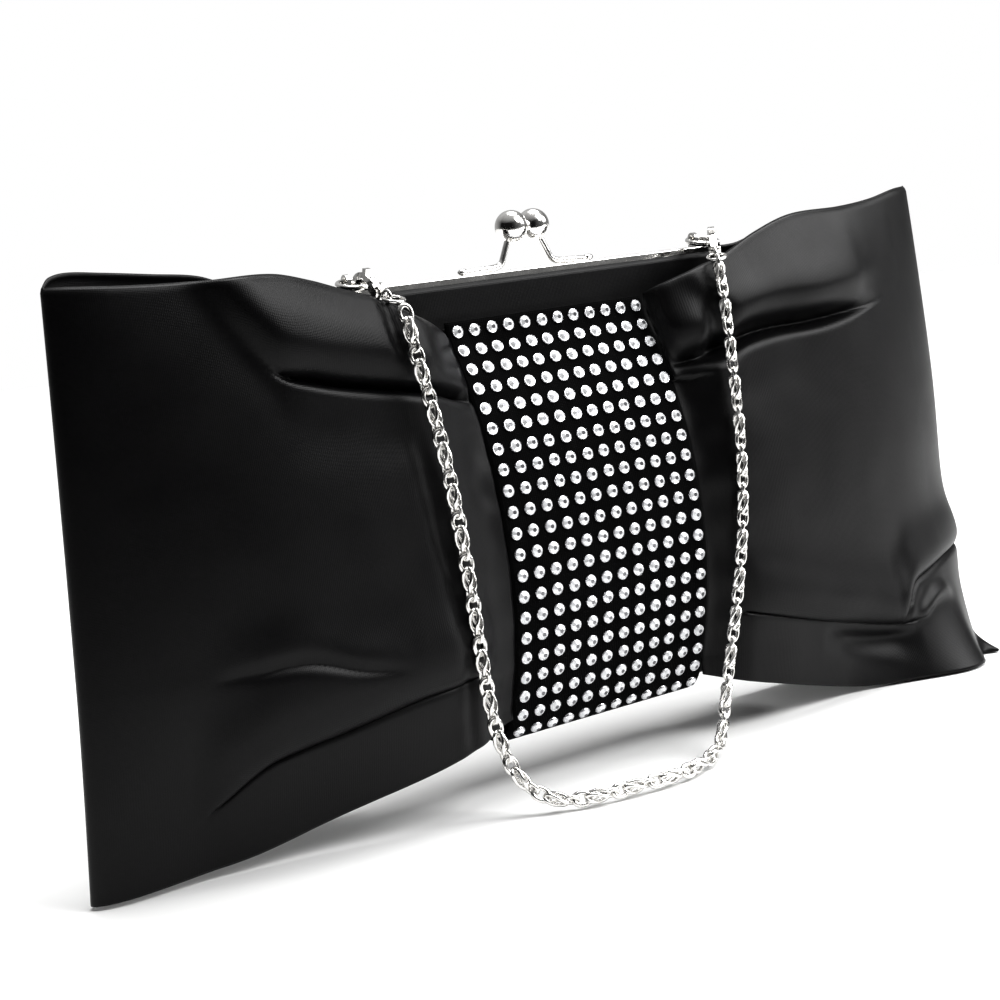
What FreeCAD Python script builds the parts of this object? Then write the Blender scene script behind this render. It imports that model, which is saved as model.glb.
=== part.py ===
import FreeCAD, Part
import math
import os

os.makedirs("parts", exist_ok=True)

V = FreeCAD.Vector

# Black satin bow evening bag with a ball-clasp frame, a stone-set centre band and a chain handle.
# Millimetres. X runs along the length, -Y is the front, +Z is up, and z = 0 is the table.
# Y = 0 is the plane where the two halves of the frame meet. The origin is under the band's middle.

# --- Body profile: the front curve of the pouch, mirrored for the back ---------------------------
CURVE_Y, CURVE_Z = 87.0, 62.5     # centre of the long front curve
CURVE_R = 106.6                   # its radius on the outer face of the pouch cloth
TOP_Y = 3.8                       # half thickness of the pouch at the frame
TOP_Z = 133.2                     # where the cloth ends under the frame's cap
SHOULDER_R = 20.0                 # soft inward bend between the top and the long curve
BASE_Z = 15.0                     # underside of the pouch
BASE_R = 6.0                      # rounding into the base

# --- Layers, as distances outwards from the pouch cloth's face (negative is inwards) -------------
CLOTH = (-0.8, 0.0)
BOARD = (-2.0, -0.95)
LINING = (-2.7, -2.15)
POCKET = (-3.4, -2.9)
GATHER = (0.2, 1.5)
BAND = (1.8, 3.0)
STONE_SEAT = 3.3                  # clear of the band, because a stone's flat back meets a curve

POUCH_HALF = 62.5                 # half length of the pouch cloth
INNER_HALF = 56.8                 # half length of the boards and linings
INNER_TOP = 125.5                 # top of the boards and linings, under the frame's web
GUSSET_IN, GUSSET_OUT = 57.2, 58.0
GUSSET_TOP = 125.0
GUSSET_GAP = 0.25                 # between the gusset's edges and the linings
BASE_GAP = 0.1                    # between the base and the pieces that stand on it
UPPER_BACK_INSET = 0.3            # how much shorter the swinging back is than the fixed one, each end
POCKET_HALF, POCKET_LOW, POCKET_HIGH = 36.0, 45.0, 98.0
BAND_HALF = 32.0
BACK_SPLIT_LOW = 80.0             # top of the fixed lower back
BACK_SPLIT_HIGH = 93.0            # bottom of the upper back that swings with the frame
BAND_BACK_LOW, BAND_BACK_HIGH = 78.0, 103.0
BAND_TOP = 123.5
GATHER_TOP = 122.0

# --- Frame ---------------------------------------------------------------------------------------
FRONT_HALF_LEN, BACK_HALF_LEN = 62.0, 60.4
LEG_WIDTH = 1.2
LEG_NEAR, WEB_NEAR, WEB_FAR = 0.4, 1.5, 2.7
CAP_NEAR, CAP_FAR = 0.2, 3.6
CAP_LOW, CAP_HIGH = 133.4, 135.0
CAP_ROUND = 0.5
WEB_LOW = 127.0
HINGE_Z = 92.0
EAR_R = 3.2
PIN_R = 1.2
PIN_GAP = 0.05
RIVET_HEAD_R = 2.1
OUTER_HEAD, INNER_HEAD = 0.7, 0.6
RIVET_PLAY = 0.2

# --- Ball clasp ----------------------------------------------------------------------------------
BALL_R = 4.4
BALL_X, BALL_Y, BALL_Z = 4.5, 1.4, 146.3
STEM_R = 0.85
FOOT_FROM, FOOT_TO = 22.0, 13.0
WIRE_FROM = 19.0                  # where the round wire starts, inside the flat foot
FOOT_WIDTH, FOOT_HEIGHT = 2.4, 0.9
STEM_BEND_R = 5.5
STEM_LEAN = 62.0                  # degrees above the rail where the stem leaves its bend

# --- Handle hardware -----------------------------------------------------------------------------
LUG_X, LUG_Y, LUG_Z = 56.5, -1.9, 137.3
LUG_THICK, LUG_R, LUG_HOLE_R = 1.2, 1.7, 0.95
RING_R, RING_WIRE = 4.2, 0.7
RING_DROOP = 15.0
HOOK_R, HOOK_HOLE_R, HOOK_THICK = 4.0, 2.6, 1.8
HOOK_TAIL, HOOK_HOLE_TAIL = 11.0, 8.3
TAIL_HALF, HOLE_TAIL_HALF = 1.6, 0.5
WIRE_IN_HOOK = 3.6
PIVOT_U, PIVOT_V = 8.8, 1.15
PIVOT_PIN_R, PIVOT_BORE_R, PIVOT_PIN_END = 0.45, 0.5, 0.85
LEVER_REACH, LEVER_MOUTH = 6.45, 0.25
LEVER_EYE_R, CHEEK_R, RECESS_R = 1.1, 1.25, 1.35
CHEEK_NEAR, CHEEK_FAR = 0.15, 0.75    # the cheeks' faces, beyond the hook's own
KNOB_FROM, KNOB_TO = (4.1, 3.3), (5.5, 5.1)
KNOB_HOLLOW_R = 3.1
CLASP_DROOP = 18.0
CLASP_TURN = {"left": 8.0, "right": 36.0}
EYE_U, EYE_R, EYE_WIRE = 13.1, 1.5, 0.45
SWIVEL_R, SWIVEL_BORE_R = 0.55, 0.65
SWIVEL_DEPTH, SWIVEL_BORE_DEPTH = 0.8, 0.9
JUMP_U, JUMP_R = 16.0, 2.5
CHAIN_U = 19.4                    # where the chain starts, along the clasp

# --- Chain route, from the left clasp over the table to the right clasp --------------------------
CHAIN_D = 4.2
CHAIN_ROUTE = [
    (-54.4, -25.0, 130.2), (-54.4, -27.5, 118.2), (-51.8, -28.2, 102.8), (-49.6, -28.6, 82.0),
    (-48.5, -28.8, 58.0), (-47.9, -28.6, 37.0), (-46.8, -28.8, 20.6), (-43.6, -31.6, 8.4),
    (-37.4, -37.4, 2.6), (-27.6, -42.4, 2.4), (-15.0, -44.2, 2.5), (-2.6, -45.6, 2.4),
    (9.2, -41.8, 2.5), (18.8, -35.0, 3.6), (25.4, -30.2, 11.6), (30.2, -28.9, 24.0),
    (35.6, -28.8, 40.0), (40.9, -28.6, 61.0), (43.4, -28.2, 82.0), (44.4, -27.0, 101.0),
    (46.2, -24.9, 117.0), (47.7, -22.1, 130.2),
]

# --- Bow wings: outer outline seen from above at three heights (x, y), the right wing ------------
WING_WALL = 1.2
WING_LEVELS = {
    -4.0: [(33, -14.5), (60, -16.8), (95, -16.6), (128, -12.0),
           (146.4, -3.5), (128, 5.2), (95, 9.2), (63.4, 11.0)],
    70.0: [(33, -22.0), (60, -23.6), (95, -22.6), (126, -15.6),
           (141.3, -6.0), (126, 3.2), (95, 10.0), (63.4, 15.5)],
    150.0: [(33, -3.0), (60, -8.0), (95, -13.5), (124, -12.5),
            (136.2, -7.0), (124, -1.6), (95, 0.9), (63.4, 2.6)],
}
WING_TOP = [(33, 122.5), (50, 126.8), (62, 131.6), (72, 136.2), (85, 140.3), (110, 142), (150, 145.2)]
WING_BOTTOM = [(112, 0), (90, 6.5), (66, 11.8), (33, 17)]     # flat on the table beyond the first point
OUTLINE_Y, OUTLINE_DEPTH = -40.0, 80.0

# --- Stones --------------------------------------------------------------------------------------
STONE_ROWS, STONE_COLUMNS = 21, 12
STONE_PITCH_X, STONE_PITCH = 5.3, 5.5
STONE_R, STONE_TABLE_R, STONE_HEIGHT = 1.7, 0.8, 1.0
FIRST_ROW_Z = 120.9


def profile_points(offset):
    """Key points of the front profile, moved outwards by offset, as (y, z) pairs."""
    long_r = CURVE_R + offset
    bend_r = SHOULDER_R - offset
    base_r = BASE_R + offset
    base_z = BASE_Z - offset
    bend_y = -TOP_Y - offset - bend_r
    bend_z = CURVE_Z + math.sqrt((long_r + bend_r) ** 2 - (CURVE_Y - bend_y) ** 2)
    corner_z = base_z + base_r
    corner_y = CURVE_Y - math.sqrt((long_r - base_r) ** 2 - (CURVE_Z - corner_z) ** 2)
    turn = math.atan2(bend_z - CURVE_Z, CURVE_Y - bend_y)
    fall = math.atan2(corner_z - CURVE_Z, CURVE_Y - corner_y)
    return {
        "long_r": long_r, "bend_r": bend_r, "base_r": base_r,
        "bend": (bend_y, bend_z), "corner": (corner_y, corner_z),
        "turn": turn, "fall": fall, "base": (corner_y, base_z),
        "top_y": -TOP_Y - offset,
    }


def on_circle(centre, radius, angle):
    """Point on a circle in the YZ plane; angle 0 points to -Y and rises towards +Z."""
    return V(0, centre[0] - radius * math.cos(angle), centre[1] + radius * math.sin(angle))


def profile_edges(offset):
    """Front profile from the frame down to the middle of the base, as joined edges at x = 0."""
    p = profile_points(offset)
    centre = (CURVE_Y, CURVE_Z)
    a = V(0, p["top_y"], TOP_Z)
    b = V(0, p["top_y"], p["bend"][1])
    bend_mid = V(0, p["bend"][0] + p["bend_r"] * math.cos(p["turn"] / 2),
                 p["bend"][1] - p["bend_r"] * math.sin(p["turn"] / 2))
    c = on_circle(centre, p["long_r"], p["turn"])
    long_mid = on_circle(centre, p["long_r"], (p["turn"] + p["fall"]) / 2)
    d = on_circle(centre, p["long_r"], p["fall"])
    low_mid = on_circle(p["corner"], p["base_r"], (p["fall"] - math.pi / 2) / 2)
    e = V(0, p["base"][0], p["base"][1])
    f = V(0, 0, p["base"][1])
    return [
        Part.makeLine(a, b), Part.Arc(b, bend_mid, c).toShape(), Part.Arc(c, long_mid, d).toShape(),
        Part.Arc(d, low_mid, e).toShape(), Part.makeLine(e, f),
    ]


def ends(edges):
    """First and last corner of an open run of edges."""
    points = Part.Wire(edges).OrderedVertexes
    return points[0].Point, points[-1].Point


def sheet(layer, x_from, x_to):
    """A layer of the front, from the frame to the middle of the base, along a length."""
    inner = profile_edges(layer[0])
    outer = profile_edges(layer[1])
    inner_top, inner_base = ends(inner)
    outer_top, outer_base = ends(outer)
    loop = outer + [Part.makeLine(outer_base, inner_base)] + inner + [Part.makeLine(inner_top, outer_top)]
    face = Part.Face(Part.Wire(Part.__sortEdges__(loop)))
    face.translate(V(x_from, 0, 0))
    return face.extrude(V(x_to - x_from, 0, 0))


def box(low, high):
    return Part.makeBox(high[0] - low[0], high[1] - low[1], high[2] - low[2], V(*low))


def between(shape, z_low, z_high, y_low=-60, y_high=60):
    """The stretch of a shape between two heights and two depths."""
    return shape.common(box((-200, y_low, z_low), (200, y_high, z_high)))


def to_back(shape):
    return shape.mirror(V(0, 0, 0), V(0, 1, 0))


def to_left(shape):
    return shape.mirror(V(0, 0, 0), V(1, 0, 0))


def cylinder_x(radius, x_from, x_to, y, z):
    return Part.makeCylinder(radius, x_to - x_from, V(x_from, y, z), V(1, 0, 0))


# --- Pouch ---------------------------------------------------------------------------------------
BASE_SEAM = BASE_Z + BASE_R        # height where the sides join the base


def pouch_parts():
    """Cloth, board and lining of the front, the base, the lower back and the upper back."""
    parts = {}
    layers = {"panel": (CLOTH, POUCH_HALF), "board": (BOARD, INNER_HALF), "lining": (LINING, INNER_HALF)}
    for name, (layer, half) in layers.items():
        front = sheet(layer, -half, half)
        back = to_back(front)
        top = TOP_Z if name == "panel" else INNER_TOP
        parts["front_" + name] = between(front, BASE_SEAM, top)
        base_front = between(front, 0, BASE_SEAM - BASE_GAP)
        base_back = between(back, 0, BASE_SEAM - BASE_GAP)
        parts["base_" + name] = base_front.fuse(base_back).removeSplitter()
        parts["back_lower_" + name] = between(back, BASE_SEAM, BACK_SPLIT_LOW)
        upper_half = INNER_HALF - UPPER_BACK_INSET
        upper = to_back(sheet(layer, -upper_half, upper_half))
        parts["back_upper_" + name] = between(upper, BACK_SPLIT_HIGH, top)
    return parts


def gusset():
    """Right end wall of the pouch, a flat piece that fills the profile between the two faces."""
    front = profile_edges(LINING[0] - GUSSET_GAP)
    back = [edge.mirror(V(0, 0, 0), V(0, 1, 0)) for edge in front]
    top_front, top_back = ends(front)[0], ends(back)[0]
    loop = Part.__sortEdges__(front + back + [Part.makeLine(top_front, top_back)])
    face = Part.Face(Part.Wire(loop))
    face.translate(V(GUSSET_IN, 0, 0))
    wall = face.extrude(V(GUSSET_OUT - GUSSET_IN, 0, 0))
    return between(wall, 0, GUSSET_TOP)


def inner_pocket():
    """Flat slip pocket sewn to the front lining."""
    return between(sheet(POCKET, -POCKET_HALF, POCKET_HALF), POCKET_LOW, POCKET_HIGH)


# --- Centre band, gathered cloth and stones ------------------------------------------------------
def centre_band():
    front = between(sheet(BAND, -BAND_HALF, BAND_HALF), 0, BAND_TOP)
    back = between(to_back(sheet(BAND, -BAND_HALF, BAND_HALF)), 0, BAND_BACK_LOW)
    return front.fuse(back).removeSplitter()


def face_at(offset, z):
    """Depth and outward direction of the front, moved outwards by offset, at a height."""
    p = profile_points(offset)
    bend_y, bend_z = p["bend"]
    corner_y, corner_z = p["corner"]
    long_high = on_circle((CURVE_Y, CURVE_Z), p["long_r"], p["turn"]).z
    long_low = on_circle((CURVE_Y, CURVE_Z), p["long_r"], p["fall"]).z
    if z > long_high:
        y = bend_y + math.sqrt(p["bend_r"] ** 2 - (bend_z - z) ** 2)
        out = V(0, bend_y - y, bend_z - z)
    elif z > long_low:
        y = CURVE_Y - math.sqrt(p["long_r"] ** 2 - (z - CURVE_Z) ** 2)
        out = V(0, y - CURVE_Y, z - CURVE_Z)
    else:
        y = corner_y - math.sqrt(p["base_r"] ** 2 - (corner_z - z) ** 2)
        out = V(0, y - corner_y, z - corner_z)
    out.normalize()
    return y, out


def stones():
    """Rows of cut stones down the band, each its own solid, standing on the band's face."""
    solids = []
    z = FIRST_ROW_Z
    for row in range(STONE_ROWS):
        y, out = face_at(STONE_SEAT, z)
        for column in range(STONE_COLUMNS):
            x = (column - (STONE_COLUMNS - 1) / 2) * STONE_PITCH_X
            solids.append(Part.makeCone(STONE_R, STONE_TABLE_R, STONE_HEIGHT, V(x, y, z), out))
        middle = face_at(STONE_SEAT, z + STONE_PITCH / 2 * out.y)[1]
        z += STONE_PITCH * middle.y
    return Part.makeCompound(solids)


# --- Frame ---------------------------------------------------------------------------------------
def half_frame(half_len):
    """Front half of the frame: cap, web and two legs with a drilled ear at each foot."""
    cap = box((-half_len, -CAP_FAR, CAP_LOW), (half_len, -CAP_NEAR, CAP_HIGH))
    cap = cap.makeFillet(CAP_ROUND, [e for e in cap.Edges if e.BoundBox.ZMin > CAP_HIGH - 0.01])
    web = box((-half_len, -WEB_FAR, WEB_LOW), (half_len, -WEB_NEAR, CAP_LOW))
    solid = cap.fuse(web)
    for side in (-1, 1):
        outer = side * half_len
        inner = side * (half_len - LEG_WIDTH)
        x_from, x_to = min(outer, inner), max(outer, inner)
        leg = box((x_from, -WEB_FAR, HINGE_Z), (x_to, -LEG_NEAR, CAP_LOW))
        ear = cylinder_x(EAR_R, x_from, x_to, 0, HINGE_Z)
        hole = cylinder_x(PIN_R + PIN_GAP, x_from - 1, x_to + 1, 0, HINGE_Z)
        solid = solid.fuse(leg).fuse(ear).cut(hole)
    return solid.removeSplitter()


def hinge_rivet():
    """Right rivet through both ears, with a head at each end."""
    inside = BACK_HALF_LEN - LEG_WIDTH - RIVET_PLAY
    outside = FRONT_HALF_LEN + RIVET_PLAY
    pin = cylinder_x(PIN_R, inside - INNER_HEAD, outside + OUTER_HEAD, 0, HINGE_Z)
    inner_head = cylinder_x(RIVET_HEAD_R, inside - INNER_HEAD, inside, 0, HINGE_Z)
    outer_head = cylinder_x(RIVET_HEAD_R, outside, outside + OUTER_HEAD, 0, HINGE_Z)
    return pin.fuse(inner_head).fuse(outer_head).removeSplitter()


def ball_clasp():
    """Back stem and ball, on the right: a flat foot on the cap, a bend and the ball."""
    lean = math.radians(STEM_LEAN)
    rail_z = CAP_HIGH + STEM_R
    bend_end = V(FOOT_TO - STEM_BEND_R * math.sin(lean), BALL_Y, rail_z + STEM_BEND_R * (1 - math.cos(lean)))
    bend_mid = V(FOOT_TO - STEM_BEND_R * math.sin(lean / 2), BALL_Y,
                 rail_z + STEM_BEND_R * (1 - math.cos(lean / 2)))
    foot_end = V(WIRE_FROM, BALL_Y, rail_z)
    bend_start = V(FOOT_TO, BALL_Y, rail_z)
    top = V(BALL_X, BALL_Y, BALL_Z)
    path = Part.Wire([Part.makeLine(foot_end, bend_start),
                      Part.Arc(bend_start, bend_mid, bend_end).toShape(),
                      Part.makeLine(bend_end, top)])
    section = Part.Wire(Part.makeCircle(STEM_R, foot_end, V(1, 0, 0)))
    wire = path.makePipeShell([section], True, False, 0)
    foot = box((FOOT_TO, BALL_Y - FOOT_WIDTH / 2, CAP_HIGH),
               (FOOT_FROM, BALL_Y + FOOT_WIDTH / 2, CAP_HIGH + FOOT_HEIGHT))
    ball = Part.makeSphere(BALL_R, top)
    stem = wire.fuse(foot).removeSplitter().cut(ball)
    return stem, ball


# --- Handle hardware -----------------------------------------------------------------------------
def lug():
    """Right lug: a drilled ear on the frame's cap that the strap ring passes through."""
    x_from = LUG_X - LUG_THICK / 2
    post = box((x_from, LUG_Y - LUG_R, CAP_HIGH), (x_from + LUG_THICK, LUG_Y + LUG_R, LUG_Z))
    head = cylinder_x(LUG_R, x_from, x_from + LUG_THICK, LUG_Y, LUG_Z)
    hole = cylinder_x(LUG_HOLE_R, x_from - 1, x_from + LUG_THICK + 1, LUG_Y, LUG_Z)
    return post.fuse(head).cut(hole).removeSplitter()


def ring_direction():
    droop = math.radians(RING_DROOP)
    return V(0, -math.cos(droop), -math.sin(droop))


def strap_ring():
    along = ring_direction()
    centre = V(LUG_X, LUG_Y, LUG_Z) + along * RING_R
    return Part.makeTorus(RING_R, RING_WIRE, centre, along.cross(V(1, 0, 0)))


def teardrop(radius, tail_u, tail_half, thick):
    """A round head that tapers to a tail, in the u-v plane, as thick as asked along w."""
    head = Part.makeCylinder(radius, thick, V(HOOK_R, -thick / 2, 0), V(0, 1, 0))
    run = tail_u - HOOK_R
    lean = math.asin((radius - tail_half) / run)
    u = HOOK_R + radius * math.sin(lean)
    v = radius * math.cos(lean)
    corners = [V(u, -thick / 2, v), V(tail_u, -thick / 2, tail_half),
               V(tail_u, -thick / 2, -tail_half), V(u, -thick / 2, -v)]
    taper = Part.Face(Part.makePolygon(corners + corners[:1])).extrude(V(0, thick, 0))
    return head.fuse(taper).removeSplitter()


def clasp_parts():
    """Hook, lever, pin, swivel eye and jump ring in their own frame: u along X, v along Z, w along Y."""
    half = HOOK_THICK / 2
    near, far = half + CHEEK_NEAR, half + CHEEK_FAR
    hook = teardrop(HOOK_R, HOOK_TAIL, TAIL_HALF, HOOK_THICK)
    hole = teardrop(HOOK_HOLE_R, HOOK_HOLE_TAIL, HOLE_TAIL_HALF, HOOK_THICK + 2)
    loop = hook.cut(hole).removeSplitter()
    pivot = V(PIVOT_U, 0, PIVOT_V)

    def disc(radius, w_from, w_to):
        return Part.makeCylinder(radius, w_to - w_from, V(PIVOT_U, w_from, PIVOT_V), V(0, 1, 0))

    sweep_outer = disc(LEVER_REACH + LEVER_MOUTH, -3, 3).common(
        box((-5, -3, 1.0 - LEVER_MOUTH), (PIVOT_U, 3, 9)))
    sweep_inner = disc(LEVER_REACH, -3, 3).common(box((-5, -3, 1.0), (PIVOT_U, 3, 9)))
    knob = box((KNOB_FROM[0], -half, KNOB_FROM[1]), (KNOB_TO[0], half, KNOB_TO[1]))
    knob = knob.cut(Part.makeCylinder(KNOB_HOLLOW_R, 4, V(HOOK_R, -2, 0), V(0, 1, 0)))
    lever = loop.common(sweep_inner).fuse(knob).fuse(disc(LEVER_EYE_R, -half, half))
    lever = lever.cut(disc(PIVOT_BORE_R, -3, 3)).removeSplitter()

    cheeks = disc(CHEEK_R, -far, -near).fuse(disc(CHEEK_R, near, far))
    bridge = box((PIVOT_U + 0.2, -far, -0.6), (HOOK_TAIL, far, 1.3))
    body = loop.cut(sweep_outer).fuse(bridge).cut(disc(RECESS_R, -near, near))
    body = body.fuse(cheeks).cut(disc(PIVOT_BORE_R, -3, 3))
    bore_from = V(HOOK_TAIL - SWIVEL_BORE_DEPTH, 0, 0)
    body = body.cut(Part.makeCylinder(SWIVEL_BORE_R, 1.6, bore_from, V(1, 0, 0))).removeSplitter()

    pin = disc(PIVOT_PIN_R, -half - PIVOT_PIN_END, half + PIVOT_PIN_END)
    post_from = HOOK_TAIL - SWIVEL_DEPTH
    post = Part.makeCylinder(SWIVEL_R, EYE_U - EYE_R - post_from, V(post_from, 0, 0), V(1, 0, 0))
    eye = Part.makeTorus(EYE_R, EYE_WIRE, V(EYE_U, 0, 0), V(0, 1, 0)).fuse(post).removeSplitter()
    jump = Part.makeTorus(JUMP_R, EYE_WIRE, V(JUMP_U, 0, 0), V(0, 0, 1))
    return {"clasp_body": body, "clasp_lever": lever, "clasp_pin": pin, "swivel_eye": eye,
            "jump_ring": jump}, pivot


def clasp_placement(side):
    """Where a clasp sits: its hook round the front of the strap ring, pointing down the chain."""
    sign = -1 if side == "left" else 1
    turn = math.radians(CLASP_TURN[side])
    droop = math.radians(CLASP_DROOP)
    u = V(-sign * math.sin(turn) * math.cos(droop), -math.cos(turn) * math.cos(droop), -math.sin(droop))
    w = V(-math.cos(turn), sign * math.sin(turn), 0)
    v = u.cross(w)
    if v.z < 0:
        w = w * -1
        v = v * -1
    hold = V(sign * LUG_X, LUG_Y, LUG_Z) + ring_direction() * (2 * RING_R)
    base = hold - u * WIRE_IN_HOOK
    return FreeCAD.Placement(FreeCAD.Matrix(u.x, w.x, v.x, base.x, u.y, w.y, v.y, base.y,
                                            u.z, w.z, v.z, base.z, 0, 0, 0, 1))


# --- Chain ---------------------------------------------------------------------------------------
def chain():
    """The chain's space: straight runs joined by tangent arcs, as one round tube."""
    points = [V(*p) for p in CHAIN_ROUTE]
    edges = []
    start = points[0]
    radii = []
    for before, here, after in zip(points, points[1:], points[2:]):
        a = before - here
        b = after - here
        turn = math.pi - a.getAngle(b)
        reach = 0.45 * min(a.Length, b.Length)
        radius = reach / math.tan(turn / 2)
        radii.append(radius)
        a.normalize()
        b.normalize()
        arc_from = here + a * reach
        arc_to = here + b * reach
        to_centre = a + b
        to_centre.normalize()
        centre = here + to_centre * (radius / math.cos(turn / 2))
        middle = centre - to_centre * radius
        edges.append(Part.makeLine(start, arc_from))
        edges.append(Part.Arc(arc_from, middle, arc_to).toShape())
        start = arc_to
    edges.append(Part.makeLine(start, points[-1]))
    path = Part.Wire(edges)
    section = Part.Wire(Part.makeCircle(CHAIN_D / 2, points[0], points[1] - points[0]))
    tube = path.makePipeShell([section], True, False, 0)
    ideal = math.pi * (CHAIN_D / 2) ** 2 * path.Length
    print("chain length", round(path.Length, 1), "volume ratio", round(tube.Volume / ideal, 4))
    print("chain bend radii", [round(r, 1) for r in radii])
    return tube


# --- Bow wings -----------------------------------------------------------------------------------
def spline(points, z):
    curve = Part.BSplineCurve()
    curve.interpolate([V(x, y, z) for x, y in points])
    return curve.toShape()


def upright_spline(points):
    """A smooth edge of the outline seen from the front, drawn in front of the bag."""
    curve = Part.BSplineCurve()
    curve.interpolate([V(x, OUTLINE_Y, z) for x, z in points])
    return curve.toShape()


def inset(points, distance):
    """Move a row of points inwards, to the right of its direction of travel."""
    moved = []
    for i, (x, y) in enumerate(points):
        before = points[max(i - 1, 0)]
        after = points[min(i + 1, len(points) - 1)]
        dx, dy = after[0] - before[0], after[1] - before[1]
        size = math.hypot(dx, dy)
        moved.append((x - dy / size * distance, y + dx / size * distance))
    return moved


def wing():
    """Right loop of the bow: one sleeve of cloth with a rounded end fold, open at top and bottom."""
    sections = []
    for z, outer in WING_LEVELS.items():
        inner = inset(outer, WING_WALL)
        edges = [spline(outer, z), Part.makeLine(V(*outer[-1], z), V(*inner[-1], z)),
                 spline(inner, z), Part.makeLine(V(*inner[0], z), V(*outer[0], z))]
        sections.append(Part.Wire(Part.__sortEdges__(edges)))
    sleeve = Part.makeLoft(sections, True, False)
    top = upright_spline(WING_TOP)
    bottom = upright_spline(WING_BOTTOM)
    far_top = V(WING_TOP[-1][0], OUTLINE_Y, WING_TOP[-1][1])
    far_bottom = V(WING_TOP[-1][0], OUTLINE_Y, 0)
    foot = V(WING_BOTTOM[0][0], OUTLINE_Y, 0)
    near_bottom = V(WING_BOTTOM[-1][0], OUTLINE_Y, WING_BOTTOM[-1][1])
    near_top = V(WING_TOP[0][0], OUTLINE_Y, WING_TOP[0][1])
    edges = [top, Part.makeLine(far_top, far_bottom), Part.makeLine(far_bottom, foot),
             bottom, Part.makeLine(near_bottom, near_top)]
    outline = Part.Face(Part.Wire(Part.__sortEdges__(edges))).extrude(V(0, OUTLINE_DEPTH, 0))
    return sleeve.common(outline)


# --- All parts -----------------------------------------------------------------------------------
def build():
    parts = pouch_parts()
    parts["right_gusset"] = gusset()
    parts["left_gusset"] = to_left(parts["right_gusset"])
    parts["inner_pocket"] = inner_pocket()
    parts["bow_gather"] = between(sheet(GATHER, -BAND_HALF, BAND_HALF), BASE_SEAM, GATHER_TOP)
    parts["centre_band"] = centre_band()
    band_back = to_back(sheet(BAND, -BAND_HALF, BAND_HALF))
    parts["band_back_upper"] = between(band_back, BAND_BACK_HIGH, BAND_TOP)
    parts["stones"] = stones()
    parts["front_frame"] = half_frame(FRONT_HALF_LEN)
    parts["back_frame"] = to_back(half_frame(BACK_HALF_LEN))
    parts["right_hinge_rivet"] = hinge_rivet()
    parts["left_hinge_rivet"] = to_left(parts["right_hinge_rivet"])
    stem, ball = ball_clasp()
    parts["back_clasp_stem"] = stem
    parts["back_clasp_ball"] = ball
    parts["front_clasp_stem"] = to_left(to_back(stem))
    parts["front_clasp_ball"] = to_left(to_back(ball))
    parts["right_lug"] = lug()
    parts["left_lug"] = to_left(parts["right_lug"])
    parts["right_strap_ring"] = strap_ring()
    parts["left_strap_ring"] = to_left(parts["right_strap_ring"])
    pieces, pivot = clasp_parts()
    for side in ("left", "right"):
        place = clasp_placement(side)
        for name, piece in pieces.items():
            moved = piece.copy()
            moved.Placement = place.multiply(moved.Placement)
            parts[side + "_" + name] = moved
        axis = place.Rotation.multVec(V(0, 1, 0))
        tail = place.multVec(V(CHAIN_U, 0, 0))
        print(side, "lever pivot", place.multVec(pivot), "axis", axis, "tail", tail)
    parts["chain"] = chain()
    parts["right_wing"] = wing()
    parts["left_wing"] = to_left(parts["right_wing"])
    return parts


for node, shape in build().items():
    solids = shape.Solids
    shape = solids[0] if len(solids) == 1 else Part.makeCompound(solids)
    shape.exportStep("parts/" + node + ".step")
    bounds = shape.BoundBox
    corners = (bounds.XMin, bounds.YMin, bounds.ZMin, bounds.XMax, bounds.YMax, bounds.ZMax)
    state = "valid" if shape.isValid() else "INVALID"
    print(node, len(solids), state, round(shape.Volume, 1), [round(n, 1) for n in corners])
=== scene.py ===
# %% [markdown]
# A black satin evening bag, shut with a ball clasp and dressed as a bow. Two stuffed-looking wings of satin
# stand out at the sides, a velvet band set with cut stones pulls the middle in, and a chain handle hangs
# down the front and lies on the table. The metal frame and its joints are already made as solids, so this
# lesson loads them, keeps the ones that are hard metal, and makes every cloth, stone and link anew round them.

# %% Load the frame
import math
import bmesh
import bpy
from mathutils import Matrix, Vector, noise


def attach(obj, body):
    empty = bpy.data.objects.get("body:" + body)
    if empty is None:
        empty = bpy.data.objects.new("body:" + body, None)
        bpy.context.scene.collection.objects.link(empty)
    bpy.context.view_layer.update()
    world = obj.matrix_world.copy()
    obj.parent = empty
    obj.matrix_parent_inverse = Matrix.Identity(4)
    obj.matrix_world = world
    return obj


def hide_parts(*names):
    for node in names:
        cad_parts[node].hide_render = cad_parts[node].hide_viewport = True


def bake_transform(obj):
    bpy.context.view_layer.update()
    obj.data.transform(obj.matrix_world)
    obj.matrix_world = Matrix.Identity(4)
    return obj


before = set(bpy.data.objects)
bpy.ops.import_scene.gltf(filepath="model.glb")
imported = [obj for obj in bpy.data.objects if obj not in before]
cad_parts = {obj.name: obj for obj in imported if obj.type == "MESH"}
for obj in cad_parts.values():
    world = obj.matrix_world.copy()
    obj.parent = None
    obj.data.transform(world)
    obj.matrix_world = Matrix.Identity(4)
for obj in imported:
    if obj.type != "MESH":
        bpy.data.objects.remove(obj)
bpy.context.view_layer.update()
MM = 0.001

# %% [markdown]
# The camera stands low and to the left of the front, about half a metre away, and rolls a little, so the
# bag's left end comes forward and its far end climbs. Three directions and a place fix it exactly.

# %% Camera
CAMERA_PLACE = Vector((-0.276, -0.4046, 0.1312))
CAMERA_RIGHT = Vector((0.82808, -0.54542, -0.12963))
CAMERA_UP = Vector((0.17232, 0.02760, 0.98465))
CAMERA_AHEAD = Vector((0.53347, 0.83771, -0.11684))

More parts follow.
